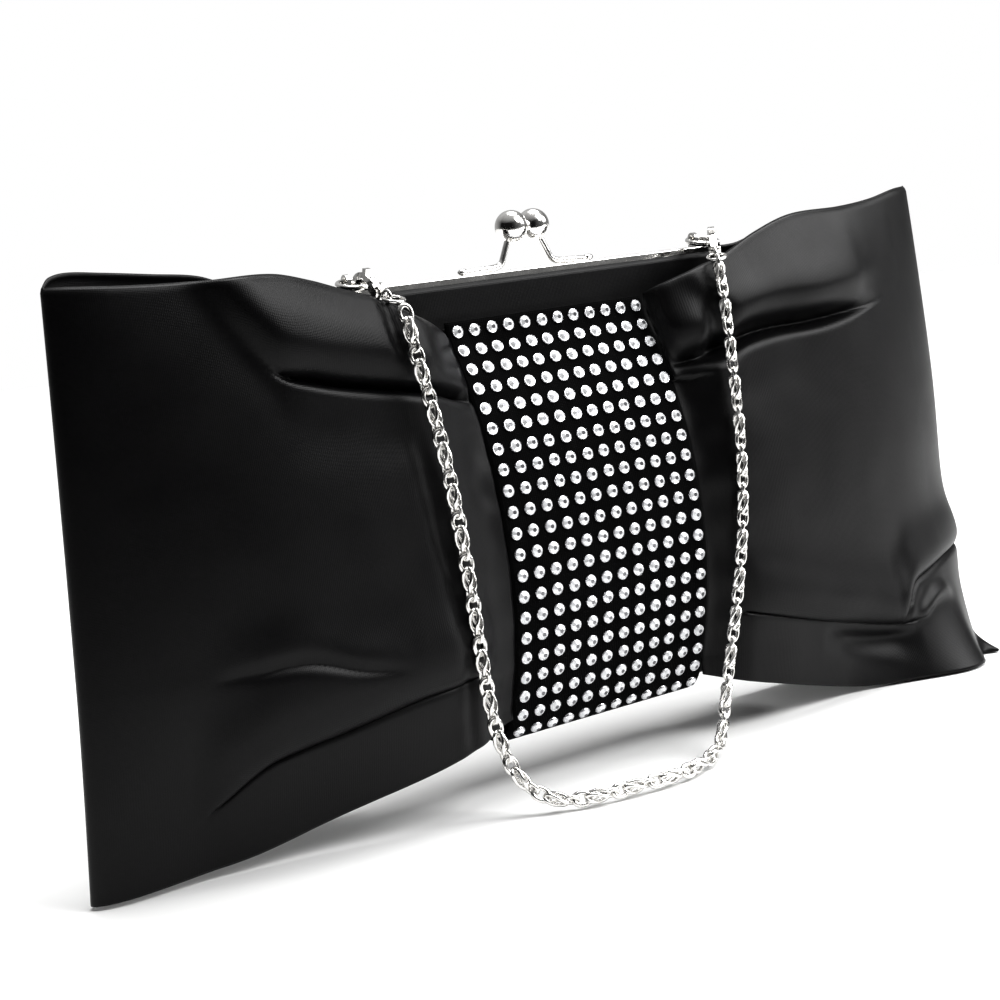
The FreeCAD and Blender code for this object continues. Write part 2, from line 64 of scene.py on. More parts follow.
lens = bpy.data.cameras.new("Camera")
lens.lens = 65.0
lens.sensor_width = 36.0
camera = bpy.data.objects.new("Camera", lens)
bpy.context.scene.collection.objects.link(camera)
turn = Matrix((CAMERA_RIGHT, CAMERA_UP, -CAMERA_AHEAD)).transposed()
camera.matrix_world = Matrix.Translation(CAMERA_PLACE) @ turn.to_4x4()
bpy.context.scene.camera = camera
print("camera", camera.matrix_world.translation)

# %% [markdown]
# A white table under a white room. One circle of floor is enough, and the room is the world's colour.
# The room shows bright behind the bag, but lights it less, or the black cloth would turn grey all over.

# %% Floor and room
def pale_surface():
    material = bpy.data.materials.new("Pale_table")
    material.use_nodes = True
    nodes, links = material.node_tree.nodes, material.node_tree.links
    shader = nodes["Principled BSDF"]
    shader.inputs["Roughness"].default_value = 0.55
    place = nodes.new("ShaderNodeTexCoord")
    cloud = nodes.new("ShaderNodeTexNoise")
    cloud.inputs["Scale"].default_value = 6.0
    tint = nodes.new("ShaderNodeValToRGB")
    tint.color_ramp.elements[0].color = (0.90, 0.90, 0.89, 1)
    tint.color_ramp.elements[1].color = (0.94, 0.94, 0.94, 1)
    links.new(place.outputs["Object"], cloud.inputs["Vector"])
    links.new(cloud.outputs["Fac"], tint.inputs["Fac"])
    links.new(tint.outputs["Color"], shader.inputs["Base Color"])
    return material


FLOOR_RADIUS = 3.0
bm = bmesh.new()
bmesh.ops.create_circle(bm, cap_ends=True, radius=FLOOR_RADIUS, segments=96)
floor_mesh = bpy.data.meshes.new("Table_top")
bm.to_mesh(floor_mesh)
bm.free()
floor = bpy.data.objects.new("Table_top", floor_mesh)
floor.location = (1.1, 2.45, -0.0002)
bpy.context.scene.collection.objects.link(floor)
floor.data.materials.append(pale_surface())

ROOM_SEEN = 1.0
# the room lights more from some sides: the axis, where it starts and ends, and the light at both
ROOM_SIDES = [("X", -0.4, 1.0, 0.01, 0.24), ("Z", 0.45, 0.95, 0.0, 0.5), ("Y", 0.30, 0.90, 0.0, 0.4)]
world = bpy.data.worlds.new("Room")
bpy.context.scene.world = world
bpy.context.scene.view_settings.view_transform = "Standard"
bpy.context.scene.view_settings.gamma = 0.88
world.use_nodes = True
nodes, links = world.node_tree.nodes, world.node_tree.links
nodes["Background"].inputs["Color"].default_value = (1.0, 1.0, 1.0, 1)
ray = nodes.new("ShaderNodeLightPath")
strength = nodes.new("ShaderNodeMapRange")
strength.inputs["To Max"].default_value = ROOM_SEEN
links.new(ray.outputs["Is Camera Ray"], strength.inputs["Value"])
direction = nodes.new("ShaderNodeTexCoord")
sides = nodes.new("ShaderNodeSeparateXYZ")
links.new(direction.outputs["Generated"], sides.inputs["Vector"])
total = None
for axis, start, end, dark, bright in ROOM_SIDES:
    fall = nodes.new("ShaderNodeMapRange")
    for socket, value in zip(("From Min", "From Max", "To Min", "To Max"), (start, end, dark, bright)):
        fall.inputs[socket].default_value = value
    links.new(sides.outputs[axis], fall.inputs["Value"])
    if total:
        both = nodes.new("ShaderNodeMath")
        links.new(total, both.inputs[0])
        links.new(fall.outputs["Result"], both.inputs[1])
        total = both.outputs["Value"]
    else:
        total = fall.outputs["Result"]
links.new(total, strength.inputs["To Min"])
links.new(strength.outputs["Result"], nodes["Background"].inputs["Strength"])
print("floor", FLOOR_RADIUS, "room sides", len(ROOM_SIDES))

# %% [markdown]
# Black satin is drawn by what it mirrors. A wide soft light at the right and in front puts a grey sheen on
# the cloth that turns that way, and leaves the left end dark. A second one overhead lights the tops of the folds.

# %% Lights
AIM = Vector((0.0, -0.02, 0.07))


def soft_light(name, place, size, power, aim=AIM):
    lamp = bpy.data.lights.new(name, "AREA")
    lamp.shape = "SQUARE"
    lamp.size = size
    lamp.energy = power
    holder = bpy.data.objects.new(name, lamp)
    holder.location = place
    holder.rotation_euler = (aim - Vector(place)).to_track_quat("-Z", "Y").to_euler()
    bpy.context.scene.collection.objects.link(holder)
    return holder


soft_light("Right_softbox", (1.0, -0.60, 0.60), 0.6, 6.5)
soft_light("Key_softbox", (0.60, -0.75, 0.95), 0.8, 16)
ceiling = bpy.data.lights.new("Ceiling_light", "SUN")
ceiling.energy = 3.0
ceiling.angle = math.radians(40)
ceiling_holder = bpy.data.objects.new("Ceiling_light", ceiling)
ceiling_holder.rotation_euler = Vector((-0.3, -0.1, -1.0)).to_track_quat("-Z", "Y").to_euler()
bpy.context.scene.collection.objects.link(ceiling_holder)

# %% [markdown]
# Every finish starts from the same shader with its constant values set on its own sockets. What varies,
# such as a smudge or a thread, is a texture read from the piece's own coordinates.

# %% A finish to start from
def finish(name, colour, metallic, roughness, specular=0.5):
    material = bpy.data.materials.new(name)
    material.use_nodes = True
    shader = material.node_tree.nodes["Principled BSDF"]
    shader.inputs["Base Color"].default_value = (*colour, 1)
    shader.inputs["Metallic"].default_value = metallic
    shader.inputs["Roughness"].default_value = roughness
    shader.inputs["Specular IOR Level"].default_value = specular
    return material, material.node_tree.nodes, material.node_tree.links, shader


def noise_map(nodes, links, coordinate, scale, low, high, detail=3.0):
    cloud = nodes.new("ShaderNodeTexNoise")
    cloud.inputs["Scale"].default_value = scale
    cloud.inputs["Detail"].default_value = detail
    span = nodes.new("ShaderNodeMapRange")
    span.inputs["From Min"].default_value = 0.3
    span.inputs["From Max"].default_value = 0.7
    span.inputs["To Min"].default_value = low
    span.inputs["To Max"].default_value = high
    links.new(coordinate, cloud.inputs["Vector"])
    links.new(cloud.outputs["Fac"], span.inputs["Value"])
    return span.outputs["Result"]


def raise_by(nodes, links, shader, height, distance, strength=1.0):
    bump = nodes.new("ShaderNodeBump")
    bump.inputs["Distance"].default_value = distance
    bump.inputs["Strength"].default_value = strength
    links.new(height, bump.inputs["Height"])
    links.new(bump.outputs["Normal"], shader.inputs["Normal"])
    return bump


# %% [markdown]
# The plated metal is a bright silver tone. Real plating is never even: it is a little rougher where fingers
# have been, and the polished surface still waves faintly, which breaks up the reflections.

# %% Plated metal
def plated_metal(name, colour, roughness, wave):
    material, nodes, links, shader = finish(name, colour, 1.0, roughness)
    place = nodes.new("ShaderNodeTexCoord").outputs["Object"]
    links.new(noise_map(nodes, links, place, 160.0, roughness * 0.6, roughness * 1.6), shader.inputs["Roughness"])
    raise_by(nodes, links, shader, noise_map(nodes, links, place, 420.0, 0.0, 1.0), wave)
    return material


chrome = plated_metal("Polished_plating", (0.84, 0.83, 0.81), 0.13, 0.00004)
chain_metal = plated_metal("Chain_plating", (0.80, 0.79, 0.77), 0.20, 0.00005)

# %% [markdown]
# Satin has long threads on its face, which lie side by side and mirror light in a soft streak. Two fine
# waves cross on the cloth's own flat coordinates, one for each set of threads, and a slow noise changes the
# roughness, as pressed and handled cloth does. The lining and the velvet use the same idea with other numbers.

# %% Cloths
THREAD_WAVE = 0.31416      # a wave texture's period at scale 1


def woven(name, colour, roughness, specular, thread, depth, sheen):
    material, nodes, links, shader = finish(name, colour, 0.0, roughness, specular)
    shader.inputs["Sheen Weight"].default_value = sheen
    shader.inputs["Sheen Roughness"].default_value = 0.45
    shader.inputs["Sheen Tint"].default_value = (0.75, 0.76, 0.80, 1)
    flat = nodes.new("ShaderNodeUVMap")
    flat.uv_map = "Cloth"
    heights = []
    for direction, pitch in (("X", thread), ("Y", thread * 0.8)):
        wave = nodes.new("ShaderNodeTexWave")
        wave.bands_direction = direction
        wave.inputs["Scale"].default_value = THREAD_WAVE / pitch
        wave.inputs["Distortion"].default_value = 2.4
        wave.inputs["Detail Scale"].default_value = 2.0
        links.new(flat.outputs["UV"], wave.inputs["Vector"])
        heights.append(wave.outputs["Fac"])
    both = nodes.new("ShaderNodeMath")
    both.operation = "ADD"
    links.new(heights[0], both.inputs[0])
    links.new(heights[1], both.inputs[1])
    raise_by(nodes, links, shader, both.outputs["Value"], depth)
    links.new(noise_map(nodes, links, flat.outputs["UV"], 60.0, roughness * 0.9, roughness * 1.12),
              shader.inputs["Roughness"])
    tint = nodes.new("ShaderNodeMixRGB")
    tint.inputs["Color1"].default_value = (*[c * 0.8 for c in colour], 1)
    tint.inputs["Color2"].default_value = (*[c * 1.25 for c in colour], 1)
    links.new(noise_map(nodes, links, flat.outputs["UV"], 900.0, 0.0, 1.0, 1.0), tint.inputs["Fac"])
    links.new(tint.outputs["Color"], shader.inputs["Base Color"])
    return material


satin = woven("Black_satin", (0.0020, 0.0019, 0.0022), 0.35, 0.17, 0.00045, 0.000014, 0.01)
velvet = woven("Black_velvet", (0.0010, 0.0010, 0.0011), 0.9, 0.05, 0.0006, 0.00006, 0.012)
lining_cloth = woven("Black_lining", (0.012, 0.012, 0.013), 0.6, 0.3, 0.0007, 0.00005, 0.04)

# %% [markdown]
# The stiffener is grey-brown board, hidden between the satin and the lining. It only shows as a thin line
# where a layer ends, so a little mottling is all that it needs.

# %% Stiffener board
board_paper, nodes, links, shader = finish("Stiffener_board", (0.42, 0.37, 0.30), 0.0, 0.85, 0.2)
place = nodes.new("ShaderNodeTexCoord").outputs["Object"]
raise_by(nodes, links, shader, noise_map(nodes, links, place, 900.0, 0.0, 1.0), 0.0001)
mottle = nodes.new("ShaderNodeMixRGB")
mottle.inputs["Color1"].default_value = (0.36, 0.31, 0.25, 1)
mottle.inputs["Color2"].default_value = (0.47, 0.42, 0.35, 1)
links.new(noise_map(nodes, links, place, 350.0, 0.0, 1.0), mottle.inputs["Fac"])
links.new(mottle.outputs["Color"], shader.inputs["Base Color"])

# %% [markdown]
# A cut stone backed with foil throws the light back like a mirror from its slanted facets, and its flat
# table shows greyer. Clear glass would show the black velvet through it, so the foil is what to imitate. The
# facets are painted near white as a painted sparkle, and the table is painted dark grey as a painted dark reflection.

# %% Stones and their cups
# the facets' near-white colour is a painted sparkle, standing in for light thrown back from the foil
stone_facet_painted_sparkle = plated_metal("Foiled_facet_painted_sparkle", (0.92, 0.93, 0.95), 0.22, 0.00002)
stone_facet_painted_sparkle.node_tree.nodes["Principled BSDF"].inputs["Metallic"].default_value = 0.35
# the table's dark grey is a painted reflection, the dark dot in the middle of each stone
stone_table_painted_reflection = plated_metal("Stone_table_painted_reflection", (0.16, 0.16, 0.17), 0.15, 0.00001)
stone_table_painted_reflection.node_tree.nodes["Principled BSDF"].inputs["Metallic"].default_value = 0.5
cup_metal = plated_metal("Stone_cup", (0.72, 0.72, 0.74), 0.22, 0.00002)
print("finishes", len(bpy.data.materials))

# %% [markdown]
# Every new piece goes through one helper: it turns the bmesh into an object that sits at the origin, gives it
# its finishes, rides it on the half of the bag that carries it, and hides the solids that it stands for.

# %% A new piece
def new_piece(name, bm, materials, body=None, stands_for=(), smooth=True):
    mesh = bpy.data.meshes.new(name)
    bm.to_mesh(mesh)
    bm.free()
    piece = bpy.data.objects.new(name, mesh)
    bpy.context.scene.collection.objects.link(piece)
    for material in materials:
        mesh.materials.append(material)
    mesh.polygons.foreach_set("use_smooth", [smooth] * len(mesh.polygons))
    if body:
        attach(piece, body)
    if stands_for:
        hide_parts(*stands_for)
    print(name, "faces", len(mesh.polygons))
    return piece


# %% [markdown]
# The chain is the handle. It hangs from the left clasp down the front, lies on the table in front of the
# bag and goes back up to the right clasp, 326 mm in all. Its line is one smooth NURBS curve.

# %% The chain's line
CHAIN_ROUTE = [
    (-54.4, -25.0, 130.2), (-54.4, -27.5, 118.2), (-51.8, -28.2, 102.8), (-49.6, -28.6, 82.0),
    (-48.5, -28.8, 58.0), (-47.9, -28.6, 37.0), (-46.8, -28.8, 20.6), (-43.6, -31.6, 8.4),
    (-37.4, -37.4, 2.6), (-27.6, -42.4, 2.4), (-15.0, -44.2, 2.5), (-2.6, -45.6, 2.4),
    (9.2, -41.8, 2.5), (18.8, -35.0, 3.6), (25.4, -30.2, 11.6), (30.2, -28.9, 24.0),
    (35.6, -28.8, 40.0), (40.9, -28.6, 61.0), (43.4, -28.2, 82.0), (44.4, -27.0, 101.0),
    (46.2, -24.9, 117.0), (47.7, -22.1, 130.2),
]
route = bpy.data.curves.new("Chain_line", "CURVE")
route.dimensions = "3D"
route.resolution_u = 24
line = route.splines.new("NURBS")
line.points.add(len(CHAIN_ROUTE) - 1)
for point, place in zip(line.points, CHAIN_ROUTE):
    point.co = (*[c * MM for c in place], 1)
line.order_u = 3
line.use_endpoint_u = True
route_holder = bpy.data.objects.new("Chain_line", route)
bpy.context.scene.collection.objects.link(route_holder)
bpy.context.view_layer.update()
sampled = bpy.data.meshes.new_from_object(route_holder)
chain_path = [v.co.copy() for v in sampled.vertices]
bpy.data.objects.remove(route_holder)
reached = [0.0]
for here, there in zip(chain_path, chain_path[1:]):
    reached.append(reached[-1] + (there - here).length)
print("chain line", round(reached[-1], 4))

# %% [markdown]
# Three kinds of link take turns: an open one, a longer double one whose two wires are wound round each other
# like a knot, and a small one. A link starts as a full spin of a small circle, which is a ring, and the ring is
# stretched, and twisted where it is the double kind. A link has few faces, because there are about 120.

# %% One ring of wire
def ring(bm, length, width, wire, around=16, across=7):
    made = bmesh.ops.create_circle(bm, segments=across, radius=wire / 2,
                                   matrix=Matrix.Translation((width / 2 - wire / 2, 0, 0))
                                   @ Matrix.Rotation(math.pi / 2, 4, "X"))
    before = {v for v in bm.verts} - set(made["verts"])
    edges = list({e for v in made["verts"] for e in v.link_edges})
    bmesh.ops.spin(bm, geom=made["verts"] + edges, cent=(0, 0, 0), axis=(0, 0, 1),
                   angle=math.tau, steps=around, use_merge=True)
    verts = [v for v in bm.verts if v not in before]
    stretch = (length - width) / 2
    for v in verts:
        v.co.y += stretch * max(-1.0, min(1.0, v.co.y / (width * 0.28)))
    return verts


def twist(verts, degrees, length):
    for v in verts:
        v.co = Matrix.Rotation(math.radians(degrees) * v.co.y / length, 3, "Y") @ v.co


# %% The chain
OPEN_LINK = (0.0056, 0.0043, 0.00120)          # length, width and wire of each kind
DOUBLE_LINK = (0.0072, 0.0040, 0.00110)
SMALL_LINK = (0.0045, 0.0034, 0.00105)


def next_link(here, there):
    """How far apart the middles of two joined links are when the chain is pulled straight."""
    return here[0] / 2 - here[2] + there[0] / 2 - there[2]


TO_DOUBLE = next_link(OPEN_LINK, DOUBLE_LINK)
TO_SMALL = TO_DOUBLE + next_link(DOUBLE_LINK, SMALL_LINK)
LINK_PITCH = TO_SMALL + next_link(SMALL_LINK, OPEN_LINK)


def on_chain(distance):
    distance = max(0.0, min(reached[-1], distance))
    for i in range(len(reached) - 1):
        if distance <= reached[i + 1]:
            share = (distance - reached[i]) / (reached[i + 1] - reached[i])
            return chain_path[i].lerp(chain_path[i + 1], share), (chain_path[i + 1] - chain_path[i]).normalized()
    return chain_path[-1], (chain_path[-1] - chain_path[-2]).normalized()


def link_frame(distance, roll):
    middle, along = on_chain(distance)
    outwards = Vector((0, -1, 0.55)).normalized()
    side = along.cross(outwards).normalized()
    face = side.cross(along).normalized()
    basis = Matrix((side, along, face)).transposed().to_4x4()
    return Matrix.Translation(middle) @ basis @ Matrix.Rotation(roll, 4, "Y")


bm = bmesh.new()
pairs = round(reached[-1] / LINK_PITCH)
pitch = reached[-1] / pairs
for i in range(pairs):
    sway = 0.35 * noise.noise(Vector((i * 0.7, 3.1, 0.0)))
    start = i * pitch + OPEN_LINK[0] / 2
    placed = ring(bm, *OPEN_LINK)
    bmesh.ops.transform(bm, matrix=link_frame(start, 0.2 + sway), verts=placed)
    for tilt in (-38, 38):
        placed = ring(bm, *DOUBLE_LINK)
        twist(placed, 100, DOUBLE_LINK[0])
        bmesh.ops.transform(bm, matrix=link_frame(start + TO_DOUBLE, math.radians(60 + tilt) + sway), verts=placed)
    placed = ring(bm, *SMALL_LINK)
    bmesh.ops.transform(bm, matrix=link_frame(start + TO_SMALL, 1.1 + sway), verts=placed)
bmesh.ops.recalc_face_normals(bm, faces=bm.faces)
chain = new_piece("Handle_chain", bm, [chain_metal], "front_half", ["chain"])

# %% [markdown]
# The frame, its rivets, the lugs, rings, hooks and pins are hard metal that the solids already describe
# exactly. They keep their meshes and only take the plated finish. The stiffener boards take the board finish.

# %% The solids that stay
for name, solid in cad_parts.items():
    solid.data.materials.clear()
    solid.data.materials.append(board_paper if name.endswith("board") else chrome)
print("solids finished", len(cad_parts))

# %% [markdown]
# Down its front, the pouch follows one line: straight under the frame, a soft bend inwards at the shoulder,
# a long bulge, a tight corner and the flat base. Every layer is the same line, moved outwards or inwards.

# %% The pouch's line
TOP_Z = 133.2
BEND = (-23.8, 123.74, 20.0)          # y, z and radius of each curve, in millimetres
BULGE = (87.0, 62.5, 106.6)
CORNER = (-4.64, 21.0, 6.0)
BEND_ANGLE, CORNER_ANGLE = math.radians(28.93), math.radians(24.36)


def runs(offset):
    """How long each part of the line is."""
    return [TOP_Z - BEND[1], (BEND[2] - offset) * BEND_ANGLE, (BULGE[2] + offset) * (BEND_ANGLE + CORNER_ANGLE),
            (CORNER[2] + offset) * (math.pi / 2 - CORNER_ANGLE), -CORNER[0]]


def down_the_front(offset, distance):
    """Depth and height at a distance down the line from the top, in millimetres."""
    straight, bend, bulge, corner, base = runs(offset)
    if distance <= straight:
        return BEND[0] + BEND[2] - offset, TOP_Z - distance
    distance -= straight
    if distance <= bend:
        a = distance / (BEND[2] - offset)
        return BEND[0] + (BEND[2] - offset) * math.cos(a), BEND[1] - (BEND[2] - offset) * math.sin(a)
    distance -= bend
    if distance <= bulge:
        a = BEND_ANGLE - distance / (BULGE[2] + offset)
        return BULGE[0] - (BULGE[2] + offset) * math.cos(a), BULGE[1] + (BULGE[2] + offset) * math.sin(a)
    distance -= bulge
    if distance <= corner:
        a = CORNER_ANGLE + distance / (CORNER[2] + offset)
        return CORNER[0] - (CORNER[2] + offset) * math.cos(a), CORNER[1] - (CORNER[2] + offset) * math.sin(a)
    return CORNER[0] + distance - corner, CORNER[1] - CORNER[2] - offset


def distance_to(offset, height):
    """How far down the line a height is."""
    low, high = 0.0, sum(runs(offset)[:4])
    for _ in range(40):
        middle = (low + high) / 2
        if down_the_front(offset, middle)[1] > height:
            low = middle
        else:
            high = middle
    return (low + high) / 2


print("front line", round(sum(runs(0)), 1), "mm from the frame to the base's middle")

# %% [markdown]
# A cloth starts as a flat grid. Its own flat measure is kept in a UV map, so the threads follow the cloth,
# and then a placing rule lays each point where the cloth goes. Solidify gives it a thickness afterwards.

# %% Cloth from a flat grid
def cloth(name, across, down, steps, lay, material, body, stands_for, thickness=0.5):
    """across and down are the flat cloth's size in millimetres, and lay(u, v) gives a place from 0..1 shares."""
    bm = bmesh.new()
    flat = bm.loops.layers.uv.new("Cloth")
    bmesh.ops.create_grid(bm, x_segments=steps[0], y_segments=steps[1], size=0.5)
    for face in bm.faces:
        for loop in face.loops:
            loop[flat].uv = ((loop.vert.co.x + 0.5) * across * MM, (loop.vert.co.y + 0.5) * down * MM)
    for v in bm.verts:
        v.co = lay(v.co.x + 0.5, v.co.y + 0.5) * MM
    piece = new_piece(name, bm, [material], body, stands_for)
    wall = piece.modifiers.new("Thickness", "SOLIDIFY")
    wall.thickness = thickness * MM
    wall.offset = 0.0
    wall.use_even_offset = False
    return piece


def pouch_layer(offset, high, low, x_from, x_to, back=False):
    """A rule that lays a cloth on the pouch's line, from one height or distance to another."""
    start = distance_to(offset, high)
    end = distance_to(offset, low) if low is not None else sum(runs(offset))
    side = -1 if back else 1

    def lay(u, v):
        y, z = down_the_front(offset, end + (start - end) * v)
        return Vector((x_from + (x_to - x_from) * u if not back else x_to + (x_from - x_to) * u, side * y, z))
    return lay, abs(x_to - x_from), end - start


CLOTH_MIDDLE = -0.4
LINING_MIDDLE = -2.4
POUCH_HALF, INNER_HALF = 62.5, 56.8

lay, across, down = pouch_layer(CLOTH_MIDDLE, TOP_Z, 21.0, -POUCH_HALF, POUCH_HALF)
cloth("Front_satin", across, down, (60, 70), lay, satin, "front_half", ["front_panel"])
lay, across, down = pouch_layer(CLOTH_MIDDLE, TOP_Z, 21.0, -POUCH_HALF, POUCH_HALF, back=True)
back_satin = cloth("Back_satin", across, down, (60, 70), lay, satin, None,
                   ["back_lower_panel", "back_upper_panel"])
lay, across, down = pouch_layer(LINING_MIDDLE, 132.5, 18.5, -INNER_HALF, INNER_HALF)
cloth("Front_lining", across, down, (30, 50), lay, lining_cloth, "front_half", ["front_lining"])
lay, across, down = pouch_layer(LINING_MIDDLE, 132.5, 18.5, -INNER_HALF, INNER_HALF, back=True)
back_lining = cloth("Back_lining", across, down, (30, 50), lay, lining_cloth, None,
                    ["back_lower_lining", "back_upper_lining"])
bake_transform(back_satin)
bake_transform(back_lining)


# %% [markdown]
# Some cloths go right round under the base: the base satin, its lining, and the velvet band. They use the
# same line, counted on from the front top through the middle of the base and up the back.

# %% Cloths that pass under the base
def round_the_pouch(offset, distance):
    whole = sum(runs(offset))
    if distance <= whole:
        return down_the_front(offset, distance)
    y, z = down_the_front(offset, 2 * whole - distance)
    return -y, z


def under_layer(offset, front_high, back_high, half):
    start = distance_to(offset, front_high)
    end = 2 * sum(runs(offset)) - distance_to(offset, back_high)

    def lay(u, v):
        y, z = round_the_pouch(offset, end + (start - end) * v)
        return Vector((half * (2 * u - 1), y, z))
    return lay, 2 * half, end - start


SEAM_HEIGHT = 21.0
lay, across, down = under_layer(CLOTH_MIDDLE, SEAM_HEIGHT, SEAM_HEIGHT, POUCH_HALF)
cloth("Base_satin", across, down, (60, 24), lay, satin, "front_half", ["base_panel"])
lay, across, down = under_layer(LINING_MIDDLE, 18.5, 18.5, INNER_HALF)
cloth("Base_lining", across, down, (30, 16), lay, lining_cloth, "front_half", ["base_lining"])
lay, across, down = pouch_layer(-3.15, 98.0, 45.0, -36.0, 36.0)
cloth("Slip_pocket", across, down, (30, 22), lay, lining_cloth, "front_half", ["inner_pocket"])

# %% [markdown]
# The end walls are soft gussets that fold inwards. Below the hinge they belong to the fixed half. Above it stands
# a fan of cloth, set a little further in, that rides on no body.

# %% Gussets
GUSSET_X, HINGE_HEIGHT, GUSSET_TOP = 57.6, 92.0, 125.0
GUSSET_OFFSET = -2.95


def gusset_wall(side, low, high, x, dip):
    def lay(u, v):
        z = low + (high - low) * v
        half = -down_the_front(GUSSET_OFFSET, distance_to(GUSSET_OFFSET, z))[0]
        if z < 18.1:
            half = 4.6
        fold = (1 - abs(2 * u - 1)) ** 1.5
        y = half * (2 * u - 1)
        return Vector((side * (x - dip * fold), y * -side, z))
    return lay


for side, word in ((-1, "left"), (1, "right")):
    lay = gusset_wall(side, 18.0, HINGE_HEIGHT + 1.0, GUSSET_X, 3.0)
    cloth("Lower_gusset_" + word, 38.0, 75.0, (16, 30), lay, satin, "front_half", [word + "_gusset"])
    lay = gusset_wall(side, HINGE_HEIGHT - 1.0, GUSSET_TOP, GUSSET_X - 0.6, 3.0)
    fan = cloth("Upper_gusset_" + word, 30.0, 34.0, (24, 16), lay, satin, None, ())
    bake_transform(fan)

# %% [markdown]
# The middle of the bow is a strip of gathered satin with the velvet band drawn over it. The band is double
# cloth with a turned edge, so it is thicker, and its back end is a piece of its own.

# %% Gathered strip and velvet band
GATHER_MIDDLE, BAND_MIDDLE = 0.85, 2.4
BAND_HALF, BAND_TOP, BAND_BACK = 32.0, 123.5, 78.0
start, end = distance_to(GATHER_MIDDLE, 122.0), distance_to(GATHER_MIDDLE, SEAM_HEIGHT)


def gathered_strip(u, v):
    y, z = down_the_front(GATHER_MIDDLE, end + (start - end) * v)
    ripple = 0.25 * math.sin(v * math.tau * 14 + 3 * u)
    return Vector(((BAND_HALF + 0.8) * (2 * u - 1), y - ripple, z))


cloth("Gathered_strip", 66.0, end - start, (40, 120), gathered_strip, satin, "front_half",
      ["bow_gather"], thickness=0.7)


def hem(place, u, v, turned=0.012):
    """The band's edges round over where the velvet is turned under."""
    edge = min(u, 1 - u) / turned
    if edge < 1:
        place.y += 0.5 * (1 - edge) ** 2 * (1 if place.y < 0 else -1)
    return place


lay, across, down = under_layer(BAND_MIDDLE, BAND_TOP, BAND_BACK, BAND_HALF)
cloth("Velvet_band", across, down, (64, 200), lambda u, v: hem(lay(u, v), u, v), velvet, "front_half",
      ["centre_band"], thickness=1.1)
lay_back, across, down = pouch_layer(BAND_MIDDLE, BAND_TOP, BAND_BACK, -BAND_HALF, BAND_HALF, back=True)
band_back = cloth("Velvet_band_back", across, down, (64, 50), lambda u, v: hem(lay_back(u, v), u, v), velvet,
                  None, ["band_back_upper"], thickness=1.1)
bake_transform(band_back)

# %% [markdown]
# A stone is a little metal cup with a cut stone in it: a slanted ring of eight crown facets and a flat
# table. The cup and the stone both start as circles that are extruded and scaled. There are 252 of them, so
# one is made and copied, a few dozen faces each.

# %% One stone
def grow(bm, edges, rise, radius_ratio):
    """Extrude a rim of edges up by rise and scale it about the middle."""
    grown = bmesh.ops.extrude_edge_only(bm, edges=edges)
    verts = [g for g in grown["geom"] if isinstance(g, bmesh.types.BMVert)]
    bmesh.ops.scale(bm, vec=(radius_ratio, radius_ratio, 1), verts=verts)
    bmesh.ops.translate(bm, vec=(0, 0, rise), verts=verts)
    return [g for g in grown["geom"] if isinstance(g, bmesh.types.BMEdge)]


bm = bmesh.new()
rim = bmesh.ops.create_circle(bm, segments=12, radius=1.7 * MM)["verts"]
rim = list({e for v in rim for e in v.link_edges})
rim = grow(bm, rim, 0.50 * MM, 0.97)
rim = grow(bm, rim, 0.08 * MM, 0.90)
rim = grow(bm, rim, -0.25 * MM, 0.95)
for face in bm.faces:
    face.smooth = True
girdle = bmesh.ops.create_circle(bm, segments=8, radius=1.46 * MM,
                                 matrix=Matrix.Translation((0, 0, 0.35 * MM)))["verts"]
girdle = list({e for v in girdle for e in v.link_edges})
before = set(bm.faces)
crown = grow(bm, girdle, 0.22 * MM, 1.0)
crown = grow(bm, crown, 0.60 * MM, 0.40)
for face in set(bm.faces) - before:
    face.material_index = 1
table = bmesh.ops.contextual_create(bm, geom=crown)["faces"]
for face in table:
    face.material_index = 2
bmesh.ops.recalc_face_normals(bm, faces=bm.faces)
if table[0].normal.z < 0:
    bmesh.ops.reverse_faces(bm, faces=bm.faces)
stone_mesh = bpy.data.meshes.new("One_stone")
bm.to_mesh(stone_mesh)
bm.free()
print("one stone has", len(stone_mesh.polygons), "faces")

# %% Rows of stones
STONE_ROWS, STONE_COLUMNS = 21, 12
STONE_PITCH_X, STONE_PITCH = 5.3, 5.5
STONE_SEAT, FIRST_ROW = 3.0, 120.9

bm = bmesh.new()
first = distance_to(STONE_SEAT, FIRST_ROW)
for row in range(STONE_ROWS):
    y, z = down_the_front(STONE_SEAT, first + row * STONE_PITCH)
    y_out, z_out = down_the_front(STONE_SEAT + 1.0, distance_to(STONE_SEAT + 1.0, FIRST_ROW)
                                  + row * STONE_PITCH * (sum(runs(STONE_SEAT + 1.0)) / sum(runs(STONE_SEAT))))
    ahead = down_the_front(STONE_SEAT, first + row * STONE_PITCH + 0.2)
    back = down_the_front(STONE_SEAT, first + row * STONE_PITCH - 0.2)
    along = Vector((0, ahead[0] - back[0], ahead[1] - back[1])).normalized()
    out = Vector((1, 0, 0)).cross(along).normalized()
    if out.y > 0:
        out = -out
    for column in range(STONE_COLUMNS):
        x = (column - (STONE_COLUMNS - 1) / 2) * STONE_PITCH_X
        chance = noise.noise_vector(Vector((x * 0.37, row * 1.93, 0.5)))
        lean = (out + 0.06 * Vector(chance)).normalized()
        seat = Vector((x + 0.25 * chance.x, y, z + 0.2 * chance.y)) * MM
        count = len(bm.verts)
        bm.from_mesh(stone_mesh)
        bm.verts.ensure_lookup_table()
        turn = lean.to_track_quat("Z", "Y").to_matrix().to_4x4() @ Matrix.Rotation(chance.z * 3, 4, "Z")
        bmesh.ops.transform(bm, matrix=Matrix.Translation(seat) @ turn, verts=bm.verts[count:])
smooth_faces = [face.smooth for face in bm.faces]
stones = new_piece("Band_stones", bm, [cup_metal, stone_facet_painted_sparkle, stone_table_painted_reflection], "front_half", ["stones"])
stones.data.polygons.foreach_set("use_smooth", smooth_faces)

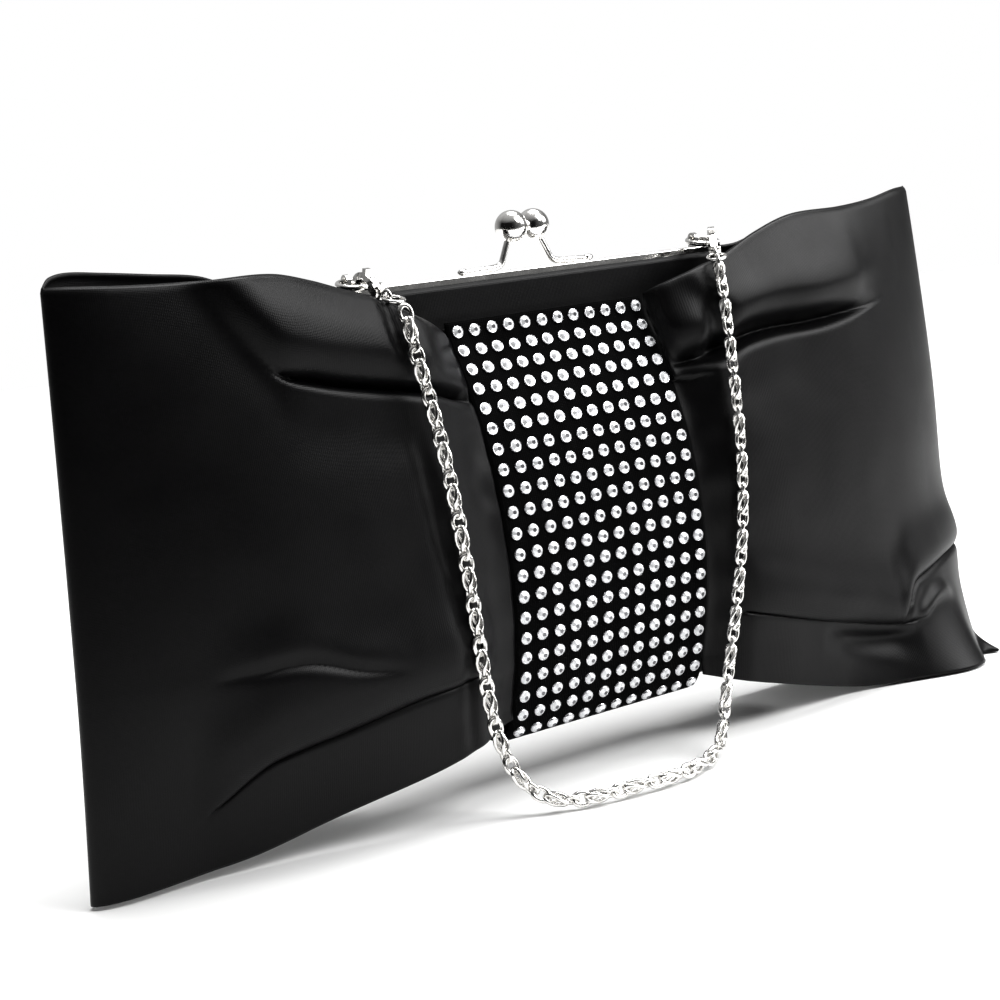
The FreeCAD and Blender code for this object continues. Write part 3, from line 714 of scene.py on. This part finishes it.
# %% [markdown]
# The wings are the bow. Each is one ribbon of satin that leaves the band, runs out to a soft end fold and
# comes back behind, open above and below like the loop of a bow. Three outlines, seen from above at three
# heights, give its body, and the folds are added to that.

# %% Smooth lines through a few points
def through(points, t):
    """The place at t on a smooth line, where whole numbers of t are the points themselves."""
    i = min(max(int(t), 0), len(points) - 2)
    f = t - i
    a, b = Vector(points[i]), Vector(points[i + 1])
    before = Vector(points[i - 1]) if i else 2 * a - b
    after = Vector(points[i + 2]) if i + 2 < len(points) else 2 * b - a
    return 0.5 * (2 * a + (b - before) * f + (2 * before - 5 * a + 4 * b - after) * f * f
                  + (3 * a - before - 3 * b + after) * f ** 3)


def curve_at(points, x, column=1):
    """The height of a smooth curve over x. points rise in x, and the curve is level beyond its ends."""
    if x <= points[0][0]:
        return points[0][column]
    if x >= points[-1][0]:
        return points[-1][column]
    i = max(k for k in range(len(points) - 1) if points[k][0] <= x)
    a, b = points[i], points[i + 1]
    step = b[0] - a[0]
    f = (x - a[0]) / step

    def slope(k):
        k = min(max(k, 1), len(points) - 2)
        return (points[k + 1][column] - points[k - 1][column]) / (points[k + 1][0] - points[k - 1][0])
    m0, m1 = slope(i) * step, slope(i + 1) * step
    return ((2 * f ** 3 - 3 * f ** 2 + 1) * a[column] + (f ** 3 - 2 * f ** 2 + f) * m0
            + (3 * f ** 2 - 2 * f ** 3) * b[column] + (f ** 3 - f ** 2) * m1)


# %% The wing's body
WING_HEIGHTS = (-4.0, 70.0, 150.0)
WING_OUTLINES = [
    [(32.0, -14.4), (42, -16.0), (60, -17.2), (95, -16.6), (128, -12.0), (146.4, -3.5), (128, 5.2), (95, 9.2),
     (63.4, 11.0)],
    [(32.0, -20.6), (41, -25.2), (60, -25.6), (95, -23.2), (126, -15.6), (141.3, -6.0), (126, 3.2), (95, 10.0),
     (63.4, 15.5)],
    [(31.0, -4.6), (42, -6.0), (60, -8.5), (95, -13.5), (124, -12.5), (136.2, -7.0), (124, -1.6), (95, 0.9),
     (63.4, 2.6)],
]
TUCK = {"left": 2.0, "right": 4.2}     # how far the wing's inner edge stands out from the pouch
TIP = 5.0                             # the outline point at the end fold
FRONT_TOP = {
    "left": [(32, 119.5), (37, 121.5), (49.5, 126.5), (56.7, 131.3), (67.9, 135.3), (75.6, 138.1), (85.3, 140.6),
             (100, 141.0), (118.5, 142.0), (137, 143.8)],
    "right": [(30.5, 124.0), (45, 129.0), (53, 131.1), (68, 136.8), (82, 140.5), (100, 141.0), (114, 142.2),
              (127, 144.4), (137, 145.2)],
}
BACK_TOP = {
    "left": [(63, 135.5), (77, 136.5), (87, 140), (95, 142.8), (107, 144.4), (120, 146.0), (129, 146.8), (134, 146.0),
             (137, 143.8)],
    "right": [(63, 134.5), (77, 134.5), (87, 137), (100, 137.5), (120, 139.5), (130, 141.5), (137, 145.2)],
}
BOTTOM = {
    "left": [(32, 19.5), (42, 18.0), (59, 14.3), (78, 10.2), (105, 3.8), (120, 2.2), (134, 1.4), (147, 0.7)],
    "right": [(29, 17.7), (50, 11.2), (77, 3.6), (90, 0.9), (110, 0.5), (147, 0.5)],
}
ribbon_steps = [0.0]
for here, there in zip(WING_OUTLINES[1], WING_OUTLINES[1][1:]):
    ribbon_steps.append(ribbon_steps[-1] + (Vector(there) - Vector(here)).length)
RIBBON = ribbon_steps[-1]


def ribbon_station(u):
    """Which outline point, counted from the band, a share of the ribbon's length is at."""
    reach = u * RIBBON
    k = max(i for i in range(len(ribbon_steps) - 1) if ribbon_steps[i] <= reach + 1e-9)
    return k + (reach - ribbon_steps[k]) / (ribbon_steps[k + 1] - ribbon_steps[k])


def wing_body(t, z):
    """Distance from the middle and depth of the plain wing, in millimetres."""
    low, middle, high = WING_HEIGHTS
    shares = ((z - middle) * (z - high) / ((low - middle) * (low - high)),
              (z - low) * (z - high) / ((middle - low) * (middle - high)),
              (z - low) * (z - middle) / ((high - low) * (high - middle)))
    place = Vector((0, 0))
    for share, outline in zip(shares, WING_OUTLINES):
        place += share * through(outline, t)
    return place


# %% [markdown]
# A fold is a line across the wing. Over it the cloth swells out, right at it the cloth dives into a dark gap,
# and under it a lip catches the light. Each line carries its own strengths, one for the swell and one for the
# dive, so a fold can fade into a plain ridge. The two wings were tied by hand, so each has its own folds.

# %% Folds
def swell(d, centre, below, above):
    return math.exp(-((d - centre) / (below if d < centre else above)) ** 2)


def smooth_step(a, b, x):
    f = min(1.0, max(0.0, (x - a) / (b - a)))
    return f * f * (3 - 2 * f)


def fold(x, z, line, out, centre, below, above, dive, gap, lip, hang):
    """How far out and how far down a fold moves the cloth at a place on the wing, in millimetres."""
    if not line[0][0] < x < line[-1][0]:
        return 0.0, 0.0
    full, deep = max(0.0, curve_at(line, x, 2)), max(0.0, curve_at(line, x, 3))
    d = z - curve_at(line, x)
    gap = gap * (0.45 + 0.55 * deep)
    moved = full * out * swell(d, centre, below, above)
    moved -= deep * dive * swell(d, gap * 0.5, gap * 0.32, gap * 1.15)
    moved += deep * lip * swell(d, -2.0, 7.0, 1.6)
    return moved, full * hang * swell(d, centre * 0.45, centre * 0.3, centre * 0.5) if hang else 0.0


def groove(x, z, line, depth, width):
    """An upright hollow, whose line gives x at each height."""
    if not line[0][0] < z < line[-1][0]:
        return 0.0
    return -depth * curve_at(line, z, 2) * math.exp(-((x - curve_at(line, z)) / width) ** 2)


FOLDS = {
    "left": [
        ([(24, 99, 0, 0), (32, 101.8, 0.3, 0.5), (38, 103.7, 0.6, 0.8), (47, 106.2, 0.9, 1), (56, 108.1, 1, 1),
          (71, 111.2, 1, 1), (80, 113.6, 1, 1), (86, 115.5, 0.95, 0.6), (89, 117.5, 0.9, 0.2), (95, 125.5, 0.75, 0),
          (101, 133.5, 0.5, 0), (108, 142, 0.2, 0), (114, 149, 0, 0)],
         6.5, 12.0, 9.0, 20.0, 5.0, 2.3, 0.9, 1.2),
        ([(40, 36.5, 0, 0), (48, 35.3, 0.7, 0.6), (64.6, 34, 1, 1), (85, 30.2, 1, 1), (101.8, 27, 0.95, 0.9),
          (107.5, 24.1, 0.8, 0.6), (114.9, 18.8, 0.6, 0.3), (121, 14, 0, 0)],
         3.6, 7.0, 4.0, 13.0, 3.2, 1.8, 0.9, 3.0),
        ([(66, 41, 0, 0), (79, 43.5, 0.6, 0.4), (92, 47.8, 0.8, 0.6), (106, 48, 0.5, 0.3), (116, 48, 0, 0)],
         1.2, 5.0, 3.0, 7.0, 1.6, 3.0, 0.8, 0.5),
    ],
    "right": [
        ([(24, 101, 0, 0), (31, 102.3, 0.5, 0.5), (34, 102.4, 0.7, 0.6), (46, 103.2, 0.9, 0.8), (55.7, 106, 1, 1),
          (66.7, 107.4, 1, 1), (81.2, 107.6, 1, 1), (90, 108.4, 0.9, 0.8), (98, 109.6, 0.7, 0.45),
          (104, 110.8, 0.4, 0.15), (112, 112.5, 0.12, 0), (122, 115, 0, 0)],
         5.5, 13.0, 8.5, 16.0, 6.5, 3.8, 0.5, 0.0),
        ([(40, 33.5, 0, 0), (46, 32.1, 0.6, 0.6), (69.3, 25.7, 1, 0.9), (89.7, 20.2, 1, 1), (101.3, 17.7, 0.9, 0.8),
          (107, 16.8, 0.3, 0.3), (112, 16.5, 0, 0)],
         3.0, 5.0, 3.0, 9.0, 3.5, 1.4, 0.6, 2.5),
        ([(70, 24, 0, 0), (82, 20.5, 0.8, 0), (92, 18.0, 1, 0), (101, 16.5, 0.8, 0), (108, 16, 0, 0)],
         -3.6, -3.2, 5.5, 2.4, 0.0, 1.0, 0.0, 0.0),
        ([(100, 19.5, 0, 0), (103.5, 22, 0.6, 0.5), (109, 27.7, 1, 0.9), (118.4, 30.2, 1, 0.9),
          (128.7, 32.2, 1, 0.8), (141, 33.5, 0.9, 0.8), (150, 34, 0.6, 0.6)],
         2.6, 5.0, 2.8, 9.0, 2.4, 1.3, 1.2, 2.0),
        ([(104, 18, 0, 0), (111, 19.5, 0.8, 0), (118, 22.8, 1, 0), (124, 23, 0.8, 0), (131, 21, 0, 0)],
         1.7, 0.0, 2.2, 2.2, 0.0, 1.0, 0.0, 0.0),
    ],
}
GROOVES = {
    "left": [([(12, 49, 0), (20, 49.5, 0.8), (60, 51.5, 1), (90, 54, 0.8), (101, 55, 0)], 1.3, 2.4),
             ([(116, 56.5, 0), (121, 57, 0.8), (128, 57, 1), (134, 57, 1)], 1.6, 1.5)],
    "right": [([(101, 44, 0), (107, 46, 1), (115, 45.5, 0.9), (121, 43, 0.4), (127, 40, 0)], 4.0, 4.0),
              ([(101, 34, 0), (106, 35, 0.8), (116, 35.5, 1), (124, 36, 0.6), (131, 36, 0)], -2.4, 4.5)],
}


def soft_lumps(x, z, seed):
    """Slow swells and hollows of cloth that nothing holds flat."""
    return (1.2 * noise.noise(Vector((x / 38.0, z / 30.0, seed)))
            + 0.35 * noise.noise(Vector((x / 13.0, z / 11.0, seed + 7.3))))


def kick(word, x, z):
    """How far the foot of a wing leans: the right one forward, the left one back."""
    if word == "right":
        return -19.0 * smooth_step(80, 128, x) * (1 - 0.45 * smooth_step(130, 146, x)) * max(0.0, 1 - z / 42.0) ** 2
    return 8.0 * smooth_step(55, 95, x) * (1 - 0.75 * smooth_step(115, 145, x)) * max(0.0, 1 - z / 50.0) ** 1.5


FLAP = Vector((1.0, -9.0))


def wing_place(side, word, u, v):
    t = ribbon_station(u)
    front = t < TIP
    high = curve_at((FRONT_TOP if front else BACK_TOP)[word], through(WING_OUTLINES[2], t).x)
    low = curve_at(BOTTOM[word], through(WING_OUTLINES[0], t).x)
    z = low + (high - low) * v
    x, y = wing_body(t, z)
    if front:
        held = 1 - smooth_step(31.0, 50.0 if word == "left" else 44.0, x)
        over = TUCK[word] if z > 100 else TUCK["left"]
        y += held * (down_the_front(over, distance_to(over, max(z, 22.0)))[0] - y)
    ahead, behind = wing_body(min(t + 0.05, 8.0), z), wing_body(max(t - 0.05, 0.0), z)
    along = (ahead - behind).normalized()
    outward = Vector((-along.y, along.x)) * -1
    edge = min(1.0, (high - z) / 9.0) * min(1.0, (z - low) / 9.0)
    tucked = smooth_step(30.5, 36.5, x) if front else 1.0
    out = down = 0.0
    if t < TIP + 0.6:
        fade = 1 - smooth_step(TIP, TIP + 0.6, t)
        for line, *shape in FOLDS[word]:
            more_out, more_down = fold(x, z, line, *shape)
            out += more_out * fade
            down += more_down * fade
        for line, *shape in GROOVES[word]:
            out += groove(x, z, line, *shape) * fade
        near = math.exp(-(x - 32.0) / 13.0)
        out += 0.3 * near * math.sin(math.tau * (8.0 * v + 0.35 * noise.noise(Vector((v * 5.0, 1.7, side))))) * edge
    else:
        out += 0.6 * math.exp(-(x - 63.4) / 16.0) * math.sin(math.tau * 6.0 * v) * edge
    out += soft_lumps(x, z, 11.0 * side + (0 if front else 40)) * (0.3 + 0.7 * edge) * abs(t - TIP) / TIP
    out -= 0.7 * max(0.0, 1 - (high - z) / 1.6) ** 2
    place = Vector((x, y)) + outward * out * tucked
    z -= down * tucked * min(1.0, edge * 1.5)
    if word == "right":
        place.x -= smooth_step(105, 140, x) * (5.5 * max(0.0, 1 - z / 34.0) + 2.2 * math.exp(-((z - 52) / 24) ** 2))
        flap = max(0.0, 1 - z / 7.0) ** 2 * math.exp(-((t - TIP + 0.15) / 0.22) ** 2)
        place += FLAP * flap
    return Vector((side * place.x, place.y + kick(word, x, z), max(z, 0.45)))


# %% Both wings
WING_STEPS = (180, 190)
for side, word in ((-1, "left"), (1, "right")):
    def lay(u, v):
        return wing_place(side, word, u if side > 0 else 1 - u, v)
    wing = cloth(word.capitalize() + "_bow_wing", RIBBON, 142.0, WING_STEPS, lay, satin, "front_half",
                 [word + "_wing"], thickness=0.8)

# %% [markdown]
# The ball clasp is two stems with a ball each that snap past one another. Bright balls show every facet, so
# they are made finer than the solids: a dense sphere each, and a stem drawn as a smooth line with thickness.

# %% Ball clasp
BALL_R, BALL_SEGMENTS = 4.4, 48
STEM_LINE = [(21.6, 135.5), (17.0, 135.9), (12.6, 135.9), (9.2, 136.4), (7.9, 139.2), (6.4, 142.4), (4.9, 145.4)]


def bent_wire(points, radius):
    """A round wire along a smooth line through the points, as a mesh."""
    curve = bpy.data.curves.new("Wire", "CURVE")
    curve.dimensions = "3D"
    curve.bevel_depth = radius
    curve.bevel_resolution = 5
    curve.resolution_u = 8
    curve.use_fill_caps = True
    spline = curve.splines.new("NURBS")
    spline.points.add(len(points) - 1)
    for point, place in zip(spline.points, points):
        point.co = (*place, 1)
    spline.order_u = 3
    spline.use_endpoint_u = True
    holder = bpy.data.objects.new("Wire", curve)
    bpy.context.scene.collection.objects.link(holder)
    bpy.context.view_layer.update()
    mesh = bpy.data.meshes.new_from_object(holder)
    bpy.data.objects.remove(holder)
    return mesh


for side, word in ((-1, "front"), (1, "back")):
    bm = bmesh.new()
    ball_middle = Vector((side * 4.5, side * 1.4, 146.3)) * MM
    bmesh.ops.create_uvsphere(bm, u_segments=BALL_SEGMENTS, v_segments=BALL_SEGMENTS // 2, radius=BALL_R * MM,
                              matrix=Matrix.Translation(ball_middle))
    new_piece("Clasp_ball_" + word, bm, [chrome], word + "_half", [word + "_clasp_ball"])
    bm = bmesh.new()
    bm.from_mesh(bent_wire([Vector((side * x, side * 1.4, z)) * MM for x, z in STEM_LINE], 0.85 * MM))
    bmesh.ops.remove_doubles(bm, verts=bm.verts, dist=1e-6)
    nub = bmesh.ops.create_uvsphere(bm, u_segments=20, v_segments=12, radius=1.0 * MM,
                                    matrix=Matrix.Translation(Vector((side * 21.4, side * 1.4, 135.9)) * MM)
                                    @ Matrix.Diagonal((1.6, 1.15, 0.9, 1)))
    bmesh.ops.recalc_face_normals(bm, faces=bm.faces)
    new_piece("Clasp_stem_" + word, bm, [chrome], word + "_half", [word + "_clasp_stem"])
